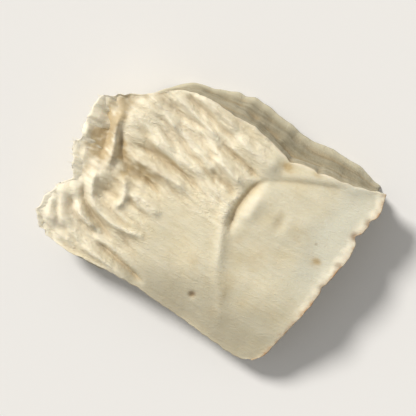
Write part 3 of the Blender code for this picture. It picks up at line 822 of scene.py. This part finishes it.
def flesh_height(tree, skin, wrinkles, skin_grain, cut_grain):
    """The finest relief: wrinkles and grain, calmer on the smooth skin and at the torn end."""
    calm = product(tree, mapped(tree, mask(tree, "plain"), 0.0, 1.0, 1.0, 0.30),
                   mapped(tree, mask(tree, "torn"), 0.0, 1.0, 1.0, 0.50))
    on_skin = scaled(tree, skin_grain, 0.22, product(tree, wrinkles, calm))
    on_cut = scaled(tree, wrinkles, 0.6, product(tree, cut_grain, 0.9))
    cut = calculated(tree, "SUBTRACT", 1.0, skin)
    return calculated(tree, "ADD", product(tree, skin, on_skin), product(tree, cut, on_cut))


def new_material(name, values):
    """A new material and its shader, whose own even values are given by name."""
    material = bpy.data.materials.new(name)
    material.use_nodes = True
    shader = material.node_tree.nodes["Principled BSDF"]
    for label, value in values.items():
        shader.inputs[label].default_value = value
    return material, shader


def flesh_material(settings, grain, shrunken):
    """The chunk's one material, which tells its finishes apart by the masks on the mesh."""
    material, shader = new_material("dried_mushroom", {
        "Subsurface Weight": 0.12, "Subsurface Radius": (1.0, 0.74, 0.45), "Subsurface Scale": 0.0006,
        "Specular IOR Level": 0.35})
    tree = material.node_tree
    coordinates = add_node(tree, "ShaderNodeTexCoord").outputs["Object"]
    wrinkles = placed_group(tree, shrunken, coordinates, wrinkle_size=0.00055, patch_size=0.0038).outputs
    skin_grain = placed_group(tree, grain, coordinates, fineness=2600.0, stretch=9.0).outputs
    cut_grain = placed_group(tree, grain, coordinates, fineness=2000.0, stretch=18.0).outputs
    skin = mask(tree, "skin")
    colour = mixed(tree, skin, cut_colour(tree, settings, cut_grain["Streaks"]),
                   skin_colour(tree, settings, wrinkles["Patches"], skin_grain["Streaks"]))
    tree.links.new(marked_colour(tree, settings, coordinates, colour), shader.inputs["Base Color"])
    roughness = scaled(tree, wrinkles["Height"], 0.22, mapped(tree, skin, 0.0, 1.0, 0.82, 0.60))
    tree.links.new(roughness, shader.inputs["Roughness"])
    height = flesh_height(tree, skin, wrinkles["Height"], skin_grain["Height"], cut_grain["Height"])
    bump = add_node(tree, "ShaderNodeBump", None, {"Height": height, "Strength": 0.8, "Distance": 0.0003})
    tree.links.new(bump.outputs[0], shader.inputs["Normal"])
    return material


def fibre_material(settings, grain):
    """The loose fibre ends' material: pale, with streaks along them."""
    material, shader = new_material("torn_fibre", {"Roughness": 0.7, "Specular IOR Level": 0.3})
    tree = material.node_tree
    coordinates = add_node(tree, "ShaderNodeTexCoord").outputs["Object"]
    streaks = placed_group(tree, grain, coordinates, fineness=3000.0, stretch=6.0).outputs["Streaks"]
    colour = mixed(tree, streaks, settings.shrunken_skin, settings.frill)
    tree.links.new(colour, shader.inputs["Base Color"])
    return material


def new_object(name, data):
    """A new object in the scene."""
    made = bpy.data.objects.new(name, data)
    bpy.context.scene.collection.objects.link(made)
    return made


def flesh_object(settings):
    """The chunk's mesh, with its masks, in the space of the solid that it stands for."""
    cell = settings.cell / MM
    layers = round(MIDDLE_HEIGHT / cell * 0.75)
    counts = np.array([round(LENGTH / cell), round(WIDTH / cell), layers])
    shares, faces = box_surface(counts)
    points = chunk_points(*shares.T, settings.fine_wrinkle / MM)
    edge_rows = np.minimum(shares, 1 - shares) * (LENGTH, WIDTH, MIDDLE_HEIGHT)
    near_edge = 1.0 - smooth_step(np.sort(edge_rows, axis=1)[:, 1], 0.0, 0.5)
    points = eased(points, faces, 0.25 + 0.35 * near_edge, 2)
    points[:, 2] = np.maximum(points[:, 2], 0.0)
    middle = (points.min(axis=0) + points.max(axis=0)) / 2 * (1, 1, 0)
    points -= middle
    points *= (settings.length / MM / np.ptp(points[:, 0]), settings.width / MM / np.ptp(points[:, 1]), 1.0)
    mesh = bpy.data.meshes.new("mushroom_flesh")
    mesh.from_pydata((points * MM).tolist(), [], faces.tolist())
    mesh.shade_smooth()
    store_masks(mesh, shares, points, faces, middle)
    return new_object("mushroom_flesh", mesh)


class MUSHROOM_OT_flesh(bpy.types.Operator):
    """Build the chunk of dried flesh with its skin"""

    bl_idname = "mushroom.flesh"
    bl_label = "Dried flesh"

    def execute(self, context):
        settings = context.scene.mushroom_chunk
        piece = flesh_object(settings)
        piece.data.materials.append(flesh_material(settings, fibre_grain_group(), shrunken_skin_group()))
        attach(piece, BODY)
        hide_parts(NODE)
        return {"FINISHED"}


def fibre_end(tree, length, thickness):
    """One bent, tapering fibre end, which stands on the origin."""
    middle = add_node(tree, "ShaderNodeCombineXYZ", None, {"X": 0.0, "Y": 0.0, "Z": 0.5}).outputs[0]
    line = add_node(tree, "GeometryNodeCurveQuadraticBezier", None,
                    {"Resolution": 5, "Start": (0, 0, -0.05), "Middle": middle, "End": (0.38, 0.10, 0.95)})
    grown = add_node(tree, "GeometryNodeTransform", None, {"Geometry": line.outputs[0]})
    size = add_node(tree, "ShaderNodeCombineXYZ", None, {"X": length, "Y": length, "Z": length})
    tree.links.new(size.outputs[0], grown.inputs["Scale"])
    radius = product(tree, thickness, 0.5)
    profile = add_node(tree, "GeometryNodeCurvePrimitiveCircle", None, {"Resolution": 4, "Radius": radius})
    along = add_node(tree, "GeometryNodeSplineParameter").outputs["Factor"]
    taper = scaled(tree, along, -0.75, 1.0)
    inputs = {"Curve": grown.outputs[0], "Profile Curve": profile.outputs[0], "Scale": taper,
              "Fill Caps": True}
    return add_node(tree, "GeometryNodeCurveToMesh", None, inputs).outputs[0]


def fibres_tree(material):
    """Scatters fibre ends over the frayed flesh, most of them pointing out of the torn end."""
    tree = bpy.data.node_groups.new("Torn fibres", "GeometryNodeTree")
    tree.interface.new_socket("Geometry", in_out="INPUT", socket_type="NodeSocketGeometry")
    for label, kind in (("Density", "Float"), ("Length", "Float"), ("Thickness", "Float"), ("Seed", "Int")):
        tree.interface.new_socket(label, in_out="INPUT", socket_type="NodeSocket" + kind)
    tree.interface.new_socket("Geometry", in_out="OUTPUT", socket_type="NodeSocketGeometry")
    start = add_node(tree, "NodeGroupInput").outputs
    fray = add_node(tree, "GeometryNodeInputNamedAttribute", {"data_type": "FLOAT"}, {"Name": "fray"})
    density = product(tree, fray.outputs[0], start["Density"])
    points = add_node(tree, "GeometryNodeDistributePointsOnFaces", None,
                      {"Mesh": start["Geometry"], "Density": density, "Seed": start["Seed"]})
    lean = add_node(tree, "FunctionNodeRandomValue", {"data_type": "FLOAT_VECTOR"},
                    {0: (-1.4, -0.55, -0.40), 1: (-0.7, 0.55, 0.10), "Seed": start["Seed"]}).outputs[0]
    way = add_node(tree, "ShaderNodeVectorMath", {"operation": "MULTIPLY_ADD"},
                   {0: points.outputs["Normal"], 1: (0.3, 0.3, 0.3), 2: lean})
    turned = add_node(tree, "FunctionNodeAlignRotationToVector", {"axis": "Z"}, {"Vector": way.outputs[0]})
    twist = add_node(tree, "FunctionNodeRandomValue", {"data_type": "FLOAT"}, {2: 0.0, 3: math.tau})
    spin = add_node(tree, "FunctionNodeAxisAngleToRotation", None,
                    {"Axis": (0, 0, 1), "Angle": twist.outputs[1]})
    rotation = add_node(tree, "FunctionNodeRotateRotation", {"rotation_space": "LOCAL"},
                        {"Rotation": turned.outputs[0], "Rotate By": spin.outputs[0]})
    size = add_node(tree, "FunctionNodeRandomValue", {"data_type": "FLOAT"}, {2: 0.25, 3: 1.0, "Seed": 7})
    instances = add_node(tree, "GeometryNodeInstanceOnPoints", None,
                         {"Points": points.outputs["Points"], "Rotation": rotation.outputs[0],
                          "Instance": fibre_end(tree, start["Length"], start["Thickness"])})
    tree.links.new(size.outputs[1], instances.inputs["Scale"])
    realized = add_node(tree, "GeometryNodeRealizeInstances", None, {"Geometry": instances.outputs[0]})
    painted = add_node(tree, "GeometryNodeSetMaterial", None,
                       {"Geometry": realized.outputs[0], "Material": material})
    add_node(tree, "NodeGroupOutput", None, {"Geometry": painted.outputs[0]})
    return tree


def grown_mesh(source, tree, values, name):
    """The plain mesh that a node tree makes from another mesh. `values` are the tree's inputs, by name."""
    carrier = new_object(name, source)
    modifier = carrier.modifiers.new(name, "NODES")
    modifier.node_group = tree
    for item in tree.interface.items_tree:
        if item.in_out == "INPUT" and item.name in values:
            modifier[item.identifier] = values[item.name]
    evaluated = carrier.evaluated_get(bpy.context.evaluated_depsgraph_get())
    mesh = bpy.data.meshes.new_from_object(evaluated)
    bpy.data.objects.remove(carrier)
    mesh.name = name
    return mesh


class MUSHROOM_OT_fibres(bpy.types.Operator):
    """Grow loose fibre ends out of the torn end"""

    bl_idname = "mushroom.fibres"
    bl_label = "Torn fibres"

    def execute(self, context):
        settings = context.scene.mushroom_fibres
        flesh = bpy.data.objects["mushroom_flesh"]
        material = fibre_material(context.scene.mushroom_chunk, bpy.data.node_groups["Fibre grain"])
        values = {"Density": settings.density, "Length": settings.length, "Thickness": settings.thickness,
                  "Seed": settings.seed}
        mesh = grown_mesh(flesh.data, fibres_tree(material), values, "torn_fibres")
        fibres = new_object("torn_fibres", mesh)
        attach(fibres, BODY)
        return {"FINISHED"}


def aimed(place, target, up=(0, 0, 1)):
    """A matrix that puts an object at a place, facing a target."""
    back = (Vector(place) - Vector(target)).normalized()
    right = Vector(up).cross(back).normalized()
    turned = Matrix((right, back.cross(right), back)).transposed()
    return Matrix.Translation(place) @ turned.to_4x4()


def picture_direction(settings, right, up):
    """The level direction in the frame that points right and up in the picture."""
    rightward = Vector((math.cos(settings.turn), math.sin(settings.turn), 0))
    upward = Vector((-math.sin(settings.turn), math.cos(settings.turn), 0))
    return (rightward * right + upward * up).normalized()


def add_camera(settings, middle):
    """The camera, almost straight above, with the piece turned in the picture as it was photographed."""
    data = bpy.data.cameras.new("camera")
    data.lens = settings.lens
    data.sensor_width = SENSOR_WIDTH
    data.clip_start = 0.01
    distance = settings.shown_width * settings.lens / SENSOR_WIDTH
    back = Vector((0, math.sin(settings.lean), math.cos(settings.lean)))
    camera = new_object("camera", data)
    camera.matrix_world = aimed(middle + back * distance, middle, picture_direction(settings, 0, 1))
    bpy.context.scene.camera = camera


def add_key(settings):
    """One broad soft light, from the picture's upper left."""
    data = bpy.data.lights.new("key", "SUN")
    data.angle = KEY_SPREAD
    data.energy = settings.key_strength
    data.color = KEY_COLOUR
    place = picture_direction(settings, *KEY_SIDE) * KEY_REACH + Vector((0, 0, KEY_HEIGHT))
    new_object("key", data).matrix_world = aimed(place, (0, 0, 0))


def add_floor(settings):
    """A plain pale floor."""
    corners = [(x * FLOOR_HALF, y * FLOOR_HALF, 0) for x, y in ((-1, -1), (1, -1), (1, 1), (-1, 1))]
    mesh = bpy.data.meshes.new("floor")
    mesh.from_pydata(corners, [], [(0, 1, 2, 3)])
    material, _ = new_material("floor", {"Base Color": settings.floor, "Roughness": 0.9})
    mesh.materials.append(material)
    floor = new_object("floor", mesh)


def add_sky(settings):
    """Even pale light from all round."""
    world = bpy.data.worlds.new("sky")
    world.use_nodes = True
    background = world.node_tree.nodes["Background"]
    background.inputs["Color"].default_value = SKY_COLOUR
    background.inputs["Strength"].default_value = settings.sky
    bpy.context.scene.world = world


class MUSHROOM_OT_stage(bpy.types.Operator):
    """Set up the floor, the light and the camera"""

    bl_idname = "mushroom.stage"
    bl_label = "Stage"

    def execute(self, context):
        settings = context.scene.mushroom_stage
        middle = (LOW + HIGH) / 2
        add_floor(settings)
        add_sky(settings)
        add_key(settings)
        add_camera(settings, middle)
        context.scene.view_settings.view_transform = "Standard"
        return {"FINISHED"}


class MUSHROOM_PT_panel(bpy.types.Panel):
    """Buttons for each piece, in the 3D view's sidebar"""

    bl_idname = "MUSHROOM_PT_panel"
    bl_label = "Dried mushroom"
    bl_space_type = "VIEW_3D"
    bl_region_type = "UI"
    bl_category = "Mushroom"

    def draw(self, context):
        for group, operator in ((context.scene.mushroom_chunk, MUSHROOM_OT_flesh),
                                (context.scene.mushroom_fibres, MUSHROOM_OT_fibres),
                                (context.scene.mushroom_stage, MUSHROOM_OT_stage)):
            box = self.layout.box()
            for name in type(group).__annotations__:
                box.prop(group, name)
            box.operator(operator.bl_idname)


CLASSES = (ChunkSettings, FibreSettings, StageSettings, MUSHROOM_OT_flesh, MUSHROOM_OT_fibres,
           MUSHROOM_OT_stage, MUSHROOM_PT_panel)


def register():
    for one in CLASSES:
        bpy.utils.register_class(one)
    bpy.types.Scene.mushroom_chunk = PointerProperty(type=ChunkSettings)
    bpy.types.Scene.mushroom_fibres = PointerProperty(type=FibreSettings)
    bpy.types.Scene.mushroom_stage = PointerProperty(type=StageSettings)


def unregister():
    del bpy.types.Scene.mushroom_stage
    del bpy.types.Scene.mushroom_fibres
    del bpy.types.Scene.mushroom_chunk
    for one in reversed(CLASSES):
        bpy.utils.unregister_class(one)


def main():
    register()
    bpy.ops.mushroom.flesh()
    bpy.ops.mushroom.fibres()
    bpy.ops.mushroom.stage()


if __name__ == "__main__":
    main()
